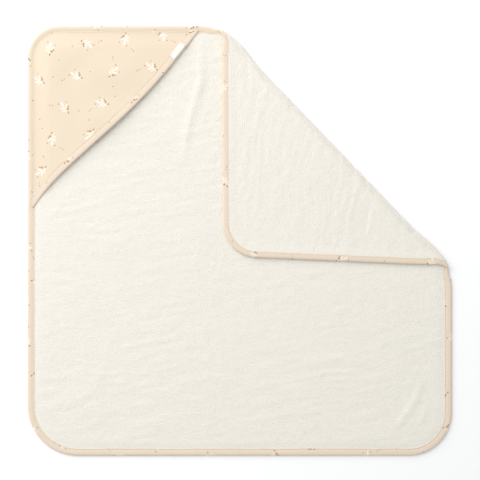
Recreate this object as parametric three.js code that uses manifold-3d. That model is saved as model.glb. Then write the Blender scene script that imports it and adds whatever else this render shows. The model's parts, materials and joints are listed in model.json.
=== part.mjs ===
// Hooded baby towel, lying flat with its free top corner folded over to show the terry back.
// Millimetres, +Z up. X runs across the towel, Y towards its hooded end, and the origin is on
// the surface it lies on, under the middle of the towel.

import * as THREE from 'three';
import { mergeVertices } from 'three/addons/utils/BufferGeometryUtils.js';
import Module from 'manifold-3d';

const wasm = await Module();
wasm.setup();

// ---- Towel ----
const TOWEL_WIDTH = 750;
const TOWEL_LENGTH = 760;
const TERRY_THICKNESS = 4.2;
const HOOD_CORNER_RADIUS = 57;
const FREE_CORNER_RADIUS = 60;
const LOWER_RIGHT_RADIUS = 76;
const LOWER_LEFT_RADIUS = 88;

// ---- Bias tape that binds the edges ----
const TAPE_THICKNESS = 0.6;
const BINDING_WIDTH = 12;
const CLEARANCE = 0.3;

// ---- Stitching ----
const THREAD_THICKNESS = 0.3;
const THREAD_WIDTH = 0.6;
const STITCH_INSET = 10.2;

// ---- Folded corner ----
const FOLD_BEYOND_HOOD = 41;
const FOLD_SKEW = 18;
const FOLD_GAP = 2.4;
// How far the folded corner has slid sideways, as a share of the distance from its fold.
const FOLD_SLIDE = 0.095;

// ---- Hood ----
const HOOD_TOP_REACH = 297;
const HOOD_SIDE_REACH = 317;
const HOOD_LINING_THICKNESS = 2.4;
const HOOD_PANEL_THICKNESS = 0.6;
const HOOD_PLAY = 1.5;
const HOOD_ARCH = 12;
const ARCH_POWER = 1.5;
const SEAM_ALLOWANCE_THICKNESS = 1.5;
// Where the free edge bows off its chord: [share of its length, distance outwards].
const FREE_EDGE_BOW = [[0, 0], [0.25, 10], [0.55, 6], [0.9, -7], [1, 0]];

// ---- Woven label on the hood's edge ----
const LABEL_LENGTH = 35;
const LABEL_WIDTH = 10;
const LABEL_THICKNESS = 0.4;
const LABEL_FROM_TOP = 36;
const LABEL_INSET = 5.5;
const LABEL_HEM = 1;

// ---- Fineness of the curves, and how far a cutting block runs past what it cuts ----
const ARC_SEGMENTS = 14;
const EDGE_STEPS = 40;
const FIELD_STEPS = 12;
const LABEL_STEPS = 8;
const OVERRUN = 1;

// ---- Heights that follow from the sizes above ----
const slotFloor = TAPE_THICKNESS + CLEARANCE;
const rimTop = TERRY_THICKNESS - TAPE_THICKNESS - CLEARANCE;
const seamBottom = rimTop + CLEARANCE;
const seamTop = seamBottom + SEAM_ALLOWANCE_THICKNESS;
const hoodBindingTop = seamTop + CLEARANCE + TAPE_THICKNESS;
const hoodBase = TERRY_THICKNESS + CLEARANCE;
const foldHeight = TERRY_THICKNESS + FOLD_GAP / 2;

// Heights above the hood's underside, in the bound edge and in the open field.
const edgeLiningBottom = TAPE_THICKNESS + CLEARANCE;
const edgeLiningTop = edgeLiningBottom + HOOD_LINING_THICKNESS / 2;
const edgePanelBottom = edgeLiningTop + CLEARANCE;
const edgePanelTop = edgePanelBottom + HOOD_PANEL_THICKNESS;
const edgeBindingTop = edgePanelTop + CLEARANCE + TAPE_THICKNESS;
const panelBottom = HOOD_LINING_THICKNESS + CLEARANCE;
const panelTop = panelBottom + HOOD_PANEL_THICKNESS;
const hoodThreadBottom = edgeBindingTop + CLEARANCE;
const labelBottom = hoodThreadBottom + THREAD_THICKNESS + CLEARANCE;
const labelTop = labelBottom + LABEL_THICKNESS;

// ---- Places that follow from the sizes above ----
const left = -TOWEL_WIDTH / 2;
const right = TOWEL_WIDTH / 2;
const bottom = -TOWEL_LENGTH / 2;
const top = TOWEL_LENGTH / 2;
const foldAlongTop = TOWEL_WIDTH - HOOD_TOP_REACH - FOLD_BEYOND_HOOD;
const foldDownSide = foldAlongTop + FOLD_SKEW;
const foldStart = new THREE.Vector3(right - foldAlongTop, top, foldHeight);
const foldEnd = new THREE.Vector3(right, top - foldDownSide, foldHeight);
const hoodInset = BINDING_WIDTH + HOOD_PLAY;
const freeEdgeTop = new THREE.Vector2(left + HOOD_TOP_REACH, top - hoodInset);
const freeEdgeSide = new THREE.Vector2(left + hoodInset, top - HOOD_SIDE_REACH);

// The towel's rounded outline, moved inwards by inset, wound anticlockwise.
function towelOutline(inset) {
  const shape = new THREE.Shape();
  const corners = [
    [right, bottom, -1, 1, LOWER_RIGHT_RADIUS, -Math.PI / 2],
    [right, top, -1, -1, FREE_CORNER_RADIUS, 0],
    [left, top, 1, -1, HOOD_CORNER_RADIUS, Math.PI / 2],
    [left, bottom, 1, 1, LOWER_LEFT_RADIUS, Math.PI],
  ];
  for (const [x, y, inX, inY, radius, start] of corners) {
    const end = start + Math.PI / 2;
    shape.absarc(x + inX * radius, y + inY * radius, radius - inset, start, end, false);
  }
  return shape;
}

// A flat slab of the towel's outline between two heights.
function towelSlab(inset, low, high) {
  const settings = { depth: high - low, bevelEnabled: false, curveSegments: ARC_SEGMENTS };
  return solidOf(new THREE.ExtrudeGeometry(towelOutline(inset), settings).translate(0, 0, low));
}

// The block of space over the hood's corner of the towel, grown by margin on its inner sides.
function hoodCornerBlock(margin) {
  const width = HOOD_TOP_REACH + margin + OVERRUN;
  const length = HOOD_SIDE_REACH + margin + OVERRUN;
  const height = 4 * hoodBindingTop;
  const block = new THREE.BoxGeometry(width, length, height);
  return solidOf(block.translate(left - OVERRUN + width / 2, top + OVERRUN - length / 2, 0));
}

// The space beyond the fold line, on the side of the corner that folds over.
function beyondFold(gap) {
  const size = 2 * (TOWEL_WIDTH + TOWEL_LENGTH);
  const along = new THREE.Vector3().subVectors(foldEnd, foldStart);
  const block = new THREE.BoxGeometry(size, size, size).translate(0, size / 2 + gap, 0);
  block.rotateZ(Math.atan2(along.y, along.x));
  return solidOf(block.translate(foldStart.x, foldStart.y, 0));
}

// The slide of the folded corner, on the flat towel: down its side, growing with the distance
// beyond the fold line, which itself stays put.
const foldAcross = new THREE.Vector3().subVectors(foldStart, foldEnd).normalize()
  .cross(new THREE.Vector3(0, 0, 1));
const slideOfCorner = new THREE.Matrix4().set(
  1, 0, 0, 0,
  -FOLD_SLIDE * foldAcross.x, 1 - FOLD_SLIDE * foldAcross.y, 0, FOLD_SLIDE * foldAcross.dot(foldEnd),
  0, 0, 1, 0,
  0, 0, 0, 1,
);

// A closed geometry as a manifold solid, and a manifold solid as a geometry.
function solidOf(geometry) {
  const bare = geometry.clone();
  bare.deleteAttribute('normal');
  bare.deleteAttribute('uv');
  const merged = mergeVertices(bare, 1e-4);
  const vertProperties = new Float32Array(merged.attributes.position.array);
  const triVerts = new Uint32Array(merged.index.array);
  return new wasm.Manifold(new wasm.Mesh({ numProp: 3, vertProperties, triVerts }));
}

function geometryOf(solid) {
  const mesh = solid.getMesh();
  const geometry = new THREE.BufferGeometry();
  geometry.setAttribute('position', new THREE.BufferAttribute(mesh.vertProperties, 3));
  geometry.setIndex(new THREE.BufferAttribute(mesh.triVerts, 1));
  geometry.computeVertexNormals();
  return geometry;
}

// ---- The flat towel, before its corner is folded ----

// Terry sheet: full pile in the field, pressed thin where the tape wraps its rim.
function terrySheet() {
  const field = towelSlab(BINDING_WIDTH + CLEARANCE, 0, TERRY_THICKNESS);
  const rim = towelSlab(slotFloor, slotFloor, rimTop);
  return field.add(rim);
}

// Tape folded round the rim as a U, deeper where it also takes in the hood's seam.
function edgeBinding() {
  const hoodOuter = hoodCornerBlock(0);
  const hoodInner = hoodCornerBlock(-TAPE_THICKNESS);
  const low = towelSlab(0, 0, TERRY_THICKNESS);
  const tall = towelSlab(0, 0, hoodBindingTop).intersect(hoodOuter);
  const slot = towelSlab(TAPE_THICKNESS, TAPE_THICKNESS, TERRY_THICKNESS - TAPE_THICKNESS);
  const deepSlab = towelSlab(TAPE_THICKNESS, TAPE_THICKNESS, hoodBindingTop - TAPE_THICKNESS);
  const opening = towelSlab(BINDING_WIDTH, -OVERRUN, hoodBindingTop + OVERRUN);
  const wrapped = low.add(tall).subtract(slot).subtract(deepSlab.intersect(hoodInner));
  return wrapped.subtract(opening);
}

// The hood's lining and panel pressed together in the binding, over the terry rim.
function hoodSeamAllowance() {
  const strip = towelSlab(slotFloor, seamBottom, seamTop);
  const inset = BINDING_WIDTH - CLEARANCE;
  const opening = towelSlab(inset, seamBottom - OVERRUN, seamTop + OVERRUN);
  return strip.subtract(opening).intersect(hoodCornerBlock(-TAPE_THICKNESS - CLEARANCE));
}

// One closed line of thread along the binding, between two heights.
function threadRing(low, high) {
  const outer = towelSlab(STITCH_INSET, low, high);
  const inner = towelSlab(STITCH_INSET + THREAD_WIDTH, low - OVERRUN, high + OVERRUN);
  return outer.subtract(inner);
}

// The thread climbs onto the taller binding round the hood's corner.
function frontThread() {
  const low = TERRY_THICKNESS + CLEARANCE;
  const high = hoodBindingTop + CLEARANCE;
  const lowRun = threadRing(low, low + THREAD_THICKNESS).subtract(hoodCornerBlock(CLEARANCE));
  const step = CLEARANCE + THREAD_WIDTH;
  const highRun = threadRing(high, high + THREAD_THICKNESS).intersect(hoodCornerBlock(step));
  const riserBlock = hoodCornerBlock(step).subtract(hoodCornerBlock(CLEARANCE));
  const riser = threadRing(low, high + THREAD_THICKNESS).intersect(riserBlock);
  return lowRun.add(riser).add(highRun);
}

function backThread() {
  return threadRing(-CLEARANCE - THREAD_THICKNESS, -CLEARANCE);
}

const staysFlat = (solid) => geometryOf(solid.subtract(beyondFold(-CLEARANCE)));
const foldsOver = (solid) => {
  return geometryOf(solid.intersect(beyondFold(CLEARANCE))).applyMatrix4(slideOfCorner);
};

// ---- The hood: a lofted triangle between its rounded corner and its free edge ----

const edgeChord = new THREE.Vector2().subVectors(freeEdgeSide, freeEdgeTop);
const edgeOutward = new THREE.Vector2(-edgeChord.y, edgeChord.x).normalize();
const freeEdge = new THREE.SplineCurve(FREE_EDGE_BOW.map(([share, bow]) => (
  freeEdgeTop.clone().addScaledVector(edgeChord, share).addScaledVector(edgeOutward, bow)
)));

// The ruling that runs from the free edge to the rounded corner, at share s of the edge.
function rulingAt(s) {
  const start = freeEdge.getPoint(s);
  const angle = Math.PI / 2 * (1 + s);
  const radius = HOOD_CORNER_RADIUS - hoodInset;
  const end = new THREE.Vector2(
    left + HOOD_CORNER_RADIUS + radius * Math.cos(angle),
    top - HOOD_CORNER_RADIUS + radius * Math.sin(angle),
  );
  const direction = end.sub(start);
  const length = direction.length();
  direction.divideScalar(length);
  const slant = Math.abs(direction.dot(edgeOutward));
  return { start, direction, slant, depth: length * slant };
}

// A point of the hood: w is its distance in from the free edge, and rise its height above
// the underside, which arches up towards the middle of the free edge.
function hoodPoint(s, w, rise) {
  const ruling = rulingAt(s);
  const place = ruling.start.clone().addScaledVector(ruling.direction, w / ruling.slant);
  const fade = Math.max(0, 1 - w / ruling.depth) ** ARCH_POWER;
  const arch = HOOD_ARCH * Math.sin(Math.PI * s) * fade;
  return new THREE.Vector3(place.x, place.y, hoodBase + arch + rise);
}

// A solid lofted through one closed section [w, rise] at each share s of the free edge.
function loftAlongHood(shares, sectionAt) {
  const positions = [];
  const index = [];
  const sections = shares.map(sectionAt);
  const count = sections[0].length;
  shares.forEach((s, row) => {
    for (const [w, rise] of sections[row]) {
      positions.push(...hoodPoint(s, w, rise).toArray());
    }
  });
  for (let row = 0; row + 1 < shares.length; row += 1) {
    for (let side = 0; side < count; side += 1) {
      const a = row * count + side;
      const b = row * count + (side + 1) % count;
      index.push(a, a + count, b, b, a + count, b + count);
    }
  }
  const lastRow = (shares.length - 1) * count;
  for (const [row, flip] of [[0, false], [shares.length - 1, true]]) {
    const outline = sections[row].map(([w, rise]) => new THREE.Vector2(w, rise));
    for (const [a, b, c] of THREE.ShapeUtils.triangulateShape(outline, [])) {
      const offset = flip ? lastRow : 0;
      const face = flip ? [a, c, b] : [a, b, c];
      index.push(...face.map((corner) => corner + offset));
    }
  }
  const geometry = new THREE.BufferGeometry();
  geometry.setAttribute('position', new THREE.Float32BufferAttribute(positions, 3));
  geometry.setIndex(index);
  geometry.computeVertexNormals();
  return geometry;
}

const evenly = (from, to, steps) => (
  Array.from({ length: steps + 1 }, (_, step) => from + (to - from) * step / steps)
);

// A layer of the hood: thin and raised inside the bound edge, at its own height in the field.
function hoodLayer(edgeLow, edgeHigh, low, high) {
  return loftAlongHood(evenly(0, 1, EDGE_STEPS), (s) => {
    const { depth } = rulingAt(s);
    const field = evenly(BINDING_WIDTH + 2 * CLEARANCE, depth, FIELD_STEPS);
    const rim = [slotFloor, BINDING_WIDTH + CLEARANCE];
    const lower = [...rim.map((w) => [w, edgeLow]), ...field.map((w) => [w, low])];
    const upper = [...rim.map((w) => [w, edgeHigh]), ...field.map((w) => [w, high])];
    return [...lower, ...upper.reverse()];
  });
}

function hoodLining() {
  return hoodLayer(edgeLiningBottom, edgeLiningTop, 0, HOOD_LINING_THICKNESS);
}

function hoodPanel() {
  return hoodLayer(edgePanelBottom, edgePanelTop, panelBottom, panelTop);
}

// Tape folded round the free edge as a U.
function hoodEdgeBinding() {
  const slotTop = edgeBindingTop - TAPE_THICKNESS;
  const section = [
    [0, 0],
    [BINDING_WIDTH, 0],
    [BINDING_WIDTH, TAPE_THICKNESS],
    [TAPE_THICKNESS, TAPE_THICKNESS],
    [TAPE_THICKNESS, slotTop],
    [BINDING_WIDTH, slotTop],
    [BINDING_WIDTH, edgeBindingTop],
    [0, edgeBindingTop],
  ];
  return loftAlongHood(evenly(0, 1, EDGE_STEPS), () => section);
}

// A flat strip on the hood between two insets from the free edge.
function hoodStrip(shares, insets, low, high) {
  const [near, far] = insets;
  return loftAlongHood(shares, () => [[near, low], [far, low], [far, high], [near, high]]);
}

function hoodEdgeThread() {
  const insets = [STITCH_INSET, STITCH_INSET + THREAD_WIDTH];
  const high = hoodThreadBottom + THREAD_THICKNESS;
  return hoodStrip(evenly(0, 1, EDGE_STEPS), insets, hoodThreadBottom, high);
}

const edgeLength = edgeChord.length();
const labelStart = LABEL_FROM_TOP / edgeLength;
const labelEnd = (LABEL_FROM_TOP + LABEL_LENGTH) / edgeLength;

function hoodLabel() {
  const insets = [LABEL_INSET, LABEL_INSET + LABEL_WIDTH];
  return hoodStrip(evenly(labelStart, labelEnd, LABEL_STEPS), insets, labelBottom, labelTop);
}

// One bar of thread across an end of the label, from share s on.
function labelStitch(s) {
  const insets = [LABEL_INSET + LABEL_HEM, LABEL_INSET + LABEL_WIDTH - LABEL_HEM];
  const low = labelTop + CLEARANCE;
  const shares = evenly(s, s + THREAD_WIDTH / edgeLength, 1);
  return hoodStrip(shares, insets, low, low + THREAD_THICKNESS);
}

// ---- Materials ----
const cloth = (color, roughness) => new THREE.MeshStandardMaterial({ color, roughness, metalness: 0 });
const terryCloth = cloth('#f5f2e6', 0.95);
const printedCotton = cloth('#faebd3', 0.85);
const biasTape = cloth('#ecd9c0', 0.85);
const wovenLabel = cloth('#fbfaf6', 0.6);
const sewingThread = cloth('#f0e0c8', 0.7);

function piece(name, geometry, material) {
  const mesh = new THREE.Mesh(geometry, material);
  mesh.name = name;
  return mesh;
}

// ---- The towel, put together ----
const towel = new THREE.Group();
const terry = terrySheet();
const binding = edgeBinding();
towel.add(piece('terry_body', staysFlat(terry), terryCloth));
towel.add(piece('edge_binding', staysFlat(binding), biasTape));
towel.add(piece('hood_seam_allowance', geometryOf(hoodSeamAllowance()), printedCotton));
towel.add(piece('binding_thread', staysFlat(frontThread()), sewingThread));

const hood = new THREE.Group();
hood.add(piece('hood_lining', hoodLining(), terryCloth));
hood.add(piece('hood_panel', hoodPanel(), printedCotton));
hood.add(piece('hood_edge_binding', hoodEdgeBinding(), biasTape));
hood.add(piece('hood_edge_thread', hoodEdgeThread(), sewingThread));
hood.add(piece('hood_label', hoodLabel(), wovenLabel));
const stitchInset = LABEL_HEM / edgeLength;
const lastStitch = labelEnd - stitchInset - THREAD_WIDTH / edgeLength;
hood.add(piece('label_stitch_upper', labelStitch(labelStart + stitchInset), sewingThread));
hood.add(piece('label_stitch_lower', labelStitch(lastStitch), sewingThread));
towel.add(hood);

// The folded corner is the same sheet, tape and thread, turned half round about the fold line.
const foldedCorner = new THREE.Group();
const foldAxis = new THREE.Vector3().subVectors(foldStart, foldEnd).setZ(0).normalize();
foldedCorner.add(piece('terry_corner', foldsOver(terry), terryCloth));
foldedCorner.add(piece('edge_binding_corner', foldsOver(binding), biasTape));
foldedCorner.add(piece('binding_thread_corner', foldsOver(backThread()), sewingThread));
foldedCorner.children.forEach((mesh) => mesh.position.copy(foldStart).negate());
foldedCorner.setRotationFromAxisAngle(foldAxis, -Math.PI);
foldedCorner.position.copy(foldStart);
towel.add(foldedCorner);

export default towel;
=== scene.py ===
"""Hooded baby towel lying flat: terry sheet, printed cotton hood, bias-bound edge.

Every length is in metres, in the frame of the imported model. The sheet, its tape and its
stitching are worked out flat and then carried through one fold, so they turn over together.
"""

import json
import logging
import math
from dataclasses import dataclass, field
from enum import Enum

import bpy
import numpy as np
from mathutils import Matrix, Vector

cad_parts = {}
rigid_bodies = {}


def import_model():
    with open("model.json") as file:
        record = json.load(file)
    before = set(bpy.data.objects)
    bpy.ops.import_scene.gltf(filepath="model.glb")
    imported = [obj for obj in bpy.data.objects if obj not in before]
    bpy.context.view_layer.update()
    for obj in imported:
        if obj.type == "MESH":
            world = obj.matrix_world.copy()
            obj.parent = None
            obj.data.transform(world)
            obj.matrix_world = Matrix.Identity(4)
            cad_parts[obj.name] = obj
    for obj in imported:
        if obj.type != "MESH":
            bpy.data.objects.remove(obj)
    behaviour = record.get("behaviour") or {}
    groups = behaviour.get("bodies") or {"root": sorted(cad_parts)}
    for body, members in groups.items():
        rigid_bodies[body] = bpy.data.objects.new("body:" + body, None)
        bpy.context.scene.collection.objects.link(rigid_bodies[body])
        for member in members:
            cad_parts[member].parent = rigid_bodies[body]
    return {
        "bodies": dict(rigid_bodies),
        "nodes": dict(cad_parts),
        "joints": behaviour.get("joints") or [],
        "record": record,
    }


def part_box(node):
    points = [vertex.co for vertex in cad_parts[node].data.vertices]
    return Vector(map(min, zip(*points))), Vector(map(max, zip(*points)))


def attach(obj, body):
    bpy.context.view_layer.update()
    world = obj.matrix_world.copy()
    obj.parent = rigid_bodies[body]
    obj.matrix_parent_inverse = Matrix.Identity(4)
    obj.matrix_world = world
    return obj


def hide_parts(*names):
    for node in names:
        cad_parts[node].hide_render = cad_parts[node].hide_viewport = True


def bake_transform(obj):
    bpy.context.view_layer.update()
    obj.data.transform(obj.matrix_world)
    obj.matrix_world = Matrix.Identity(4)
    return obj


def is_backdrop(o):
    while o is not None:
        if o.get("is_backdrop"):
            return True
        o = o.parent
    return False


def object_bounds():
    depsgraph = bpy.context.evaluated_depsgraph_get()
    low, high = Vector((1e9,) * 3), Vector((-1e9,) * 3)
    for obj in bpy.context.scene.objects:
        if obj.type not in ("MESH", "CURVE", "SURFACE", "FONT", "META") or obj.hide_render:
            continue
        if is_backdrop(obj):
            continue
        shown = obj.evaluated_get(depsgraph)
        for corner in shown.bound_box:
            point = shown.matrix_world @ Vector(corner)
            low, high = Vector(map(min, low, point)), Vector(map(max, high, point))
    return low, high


LOG = logging.getLogger("towel")
MM = 0.001
SEED = 7
LATTICE = 512


# ---------------------------------------------------------------- small helpers


def linear(hex_colour: str) -> tuple[float, float, float, float]:
    """Turns an sRGB hex colour into linear light.

    Args:
        hex_colour: six hex digits after a hash.

    Returns:
        Red, green, blue and an alpha of 1, each from 0 to 1.
    """
    parts = [int(hex_colour[i:i + 2], 16) / 255 for i in (1, 3, 5)]
    light = [c / 12.92 if c <= 0.04045 else ((c + 0.055) / 1.055) ** 2.4 for c in parts]
    return (*light, 1.0)


def smooth(low: float, high: float, value: np.ndarray) -> np.ndarray:
    """A soft step: 0 below low, 1 above high, and 3t^2 - 2t^3 between.

    Args:
        low: where the step starts.
        high: where the step ends.
        value: the numbers to step.

    Returns:
        The stepped numbers.
    """
    t = np.clip((value - low) / (high - low), 0, 1)
    return t * t * (3 - 2 * t)


def bump(value: np.ndarray, centre: float, width: float) -> np.ndarray:
    """A bell curve of height 1: exp(-((value - centre) / width)^2)."""
    return np.exp(-(((value - centre) / width) ** 2))


def unit(vectors: np.ndarray) -> np.ndarray:
    """The same vectors, each divided by its own length."""
    return vectors / np.linalg.norm(vectors, axis=-1, keepdims=True)


def soft_noise(x: np.ndarray, y: np.ndarray, cell: float, seed: int) -> np.ndarray:
    """Smooth random heights from -1 to 1: random lattice values blended by soft steps.

    Args:
        x: places across the cloth.
        y: places along the cloth.
        cell: distance between lattice points.
        seed: which random lattice.

    Returns:
        One height for each place.
    """
    lattice = np.random.default_rng(seed).uniform(-1, 1, (LATTICE, LATTICE))
    gx, gy = x / cell, y / cell
    ix, iy = np.floor(gx).astype(int), np.floor(gy).astype(int)
    fx, fy = smooth(0, 1, gx - ix), smooth(0, 1, gy - iy)
    jx, jy = (ix + 1) % LATTICE, (iy + 1) % LATTICE
    ix, iy = ix % LATTICE, iy % LATTICE
    low = lattice[ix, iy] * (1 - fx) + lattice[jx, iy] * fx
    high = lattice[ix, jy] * (1 - fx) + lattice[jx, jy] * fx
    return low * (1 - fy) + high * fy


def grid_faces(rows: int, columns: int, closed: bool = False) -> np.ndarray:
    """Quads of a grid of points stored row by row.

    Args:
        rows: number of rows of points.
        columns: number of points in a row.
        closed: whether each row joins back to its own start.

    Returns:
        An array of four point numbers for each quad, anticlockwise for rows along +Y.
    """
    across = columns if closed else columns - 1
    r, c = np.meshgrid(np.arange(rows - 1), np.arange(across), indexing="ij")
    a, b = r * columns + c, r * columns + (c + 1) % columns
    return np.stack([a, b, b + columns, a + columns], axis=-1).reshape(-1, 4)


def make_piece(name: str, points: np.ndarray, faces: list[list[int]], flat: np.ndarray,
               thickness: float = 0.0) -> bpy.types.Object:
    """Makes a smooth-shaded mesh object whose UV map holds its place on the flat cloth.

    Args:
        name: the piece's name.
        points: positions, of any shape that ends in 3.
        faces: point numbers of each face.
        flat: two flat-cloth coordinates, in metres, for each point.
        thickness: the cloth's thickness, or 0 for a mesh that is solid already.

    Returns:
        The new object, linked to the scene.
    """
    mesh = bpy.data.meshes.new(name)
    mesh.from_pydata(np.reshape(points, (-1, 3)).tolist(), [], faces)
    corners = np.zeros(len(mesh.loops), np.int32)
    mesh.loops.foreach_get("vertex_index", corners)
    layer = mesh.uv_layers.new(name="cloth")
    layer.data.foreach_set("uv", np.reshape(flat, (-1, 2)).astype(np.float32)[corners].ravel())
    mesh.polygons.foreach_set("use_smooth", np.ones(len(mesh.polygons), bool))
    mesh.update()
    piece = bpy.data.objects.new(name, mesh)
    bpy.context.scene.collection.objects.link(piece)
    if thickness:
        thicken(piece, thickness)
    return piece


def thicken(piece: bpy.types.Object, thickness: float) -> None:
    """Gives a middle surface its thickness, half to each side, with closed rims.

    The surface's border is marked sharp, so that two pieces that meet shade as one cloth.

    Args:
        piece: the middle surface.
        thickness: the cloth's thickness.
    """
    mesh = piece.data
    edge_of_corner = np.zeros(len(mesh.loops), np.int32)
    mesh.loops.foreach_get("edge_index", edge_of_corner)
    border = np.bincount(edge_of_corner, minlength=len(mesh.edges)) == 1
    mesh.attributes.new("sharp_edge", "BOOLEAN", "EDGE").data.foreach_set("value", border)
    wall = piece.modifiers.new("thickness", "SOLIDIFY")
    wall.thickness = thickness
    wall.offset = 0
    wall.use_rim = True


def wire(tree: bpy.types.NodeTree, node: bpy.types.Node, inputs: dict) -> None:
    """Sets or links a node's inputs.

    Args:
        tree: the node tree.
        node: the node.
        inputs: a value, or the output socket to link, for each input by name or number.
    """
    for key, value in inputs.items():
        if isinstance(value, bpy.types.NodeSocket):
            tree.links.new(value, node.inputs[key])
        else:
            node.inputs[key].default_value = value


def add_node(tree: bpy.types.NodeTree, kind: str, inputs: dict | None = None, output: int | str = 0,
             **settings) -> bpy.types.NodeSocket:
    """Adds a node, sets its options, and sets or links its inputs.

    Args:
        tree: the node tree.
        kind: the node's type name, after "ShaderNode".
        inputs: value or output socket for each input, by name or number.
        output: the output that is wanted, by name or number.
        settings: options of the node by name.

    Returns:
        The socket of the wanted output.
    """
    node = tree.nodes.new("ShaderNode" + kind)
    for name, value in settings.items():
        setattr(node, name, value)
    wire(tree, node, inputs or {})
    return node.outputs[output]


# ---------------------------------------------------------------- finishes


class Weight(Enum):
    """How heavy a cloth's relief is, as the distance its bump stands for."""

    FINE = 0.15 * MM
    PLAIN = 0.3 * MM
    LOOPED = 0.9 * MM


def per(size: float) -> tuple[float, float, float]:
    """The scale at which one unit of a pattern is as long as size."""
    return (1 / size,) * 3


def new_cloth(name: str, roughness: float,
              sheen: float) -> tuple[bpy.types.Material, bpy.types.NodeTree, bpy.types.Node]:
    """Makes a material with a bare cloth shader: little mirror shine, a soft fibre sheen.

    Args:
        name: the material's name.
        roughness: roughness of its surface.
        sheen: strength of its sheen.

    Returns:
        The material, its node tree and its shader node.
    """
    material = bpy.data.materials.new(name)
    material.use_nodes = True
    tree = material.node_tree
    shader = tree.nodes["Principled BSDF"]
    wire(tree, shader, {"Roughness": roughness, "Specular IOR Level": 0.25,
                        "Sheen Weight": sheen, "Sheen Roughness": 0.5})
    return material, tree, shader


@dataclass(frozen=True)
class TerryCotton:
    """Looped cotton terry: matt cream loops about 2 mm apart, their tips painted paler as painted light.

    The loops are drawn a little coarser than real ones so that they show.
    """

    name: str = "cotton_terry"
    # Painted light and painted shade of one cream: pale for the loop tips and raised patches, deep for
    # the hollows between the loops.
    pale: str = "#FFFBF1"
    deep: str = "#F0E9DB"
    loop_spacing: float = 2.6 * MM
    wander_size: float = 4 * MM
    patch_size: float = 11 * MM
    roughness: float = 0.95
    sheen: float = 0.25
    relief: float = 0.55

    def material(self) -> bpy.types.Material:
        """Builds the material: loops from Voronoi cells and two sizes of noise, with painted light and
        shade that follow the relief.

        The loops stand high in the relief, and so do the patches where the pile has been brushed up. Both
        are painted paler in the colour, as painted light, and the hollows between the loops are painted
        deeper, as painted shade.

        Returns:
            The material.
        """
        material, tree, shader = new_cloth(self.name, self.roughness, self.sheen)
        cloth = add_node(tree, "UVMap", uv_map="cloth")
        fine, looped, broad = (add_node(tree, "Mapping", {"Vector": cloth, "Scale": per(size)})
                               for size in (self.wander_size, self.loop_spacing, self.patch_size))
        wander = add_node(tree, "TexNoise", {"Vector": fine, "Detail": 2}, "Fac")
        patches = add_node(tree, "TexNoise", {"Vector": broad, "Detail": 3}, "Fac")
        loops = add_node(tree, "TexVoronoi", {"Vector": looped, "Smoothness": 0.25}, "Distance",
                         feature="SMOOTH_F1")
        tips = add_node(tree, "Math", {0: 1.0, 1: loops}, operation="SUBTRACT")
        height = add_node(tree, "Math", {0: tips, 1: 1.5, 2: wander}, operation="MULTIPLY_ADD")
        height = add_node(tree, "Math", {0: patches, 1: 4.6, 2: height}, operation="MULTIPLY_ADD")
        # Painted light and shade: the colour follows the relief, paler on the loop tips and raised
        # patches, deeper between the loops.
        shade = add_node(tree, "Math", {0: patches, 1: 1.5, 2: -0.42}, operation="MULTIPLY_ADD")
        shade = add_node(tree, "Math", {0: tips, 1: 0.95, 2: shade}, operation="MULTIPLY_ADD")
        colour = add_node(tree, "Mix", {0: shade, 6: linear(self.deep), 7: linear(self.pale)}, 2,
                          data_type="RGBA")
        relief = add_node(tree, "Bump", {"Height": height, "Strength": self.relief,
                                         "Distance": Weight.LOOPED.value})
        wire(tree, shader, {"Base Color": colour, "Normal": relief})
        return material


@dataclass(frozen=True)
class Blob:
    """One round or oval mark of the print, placed in a cell one unit wide."""

    x: float
    y: float
    long: float
    short: float
    turn: float = 0.0


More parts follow.
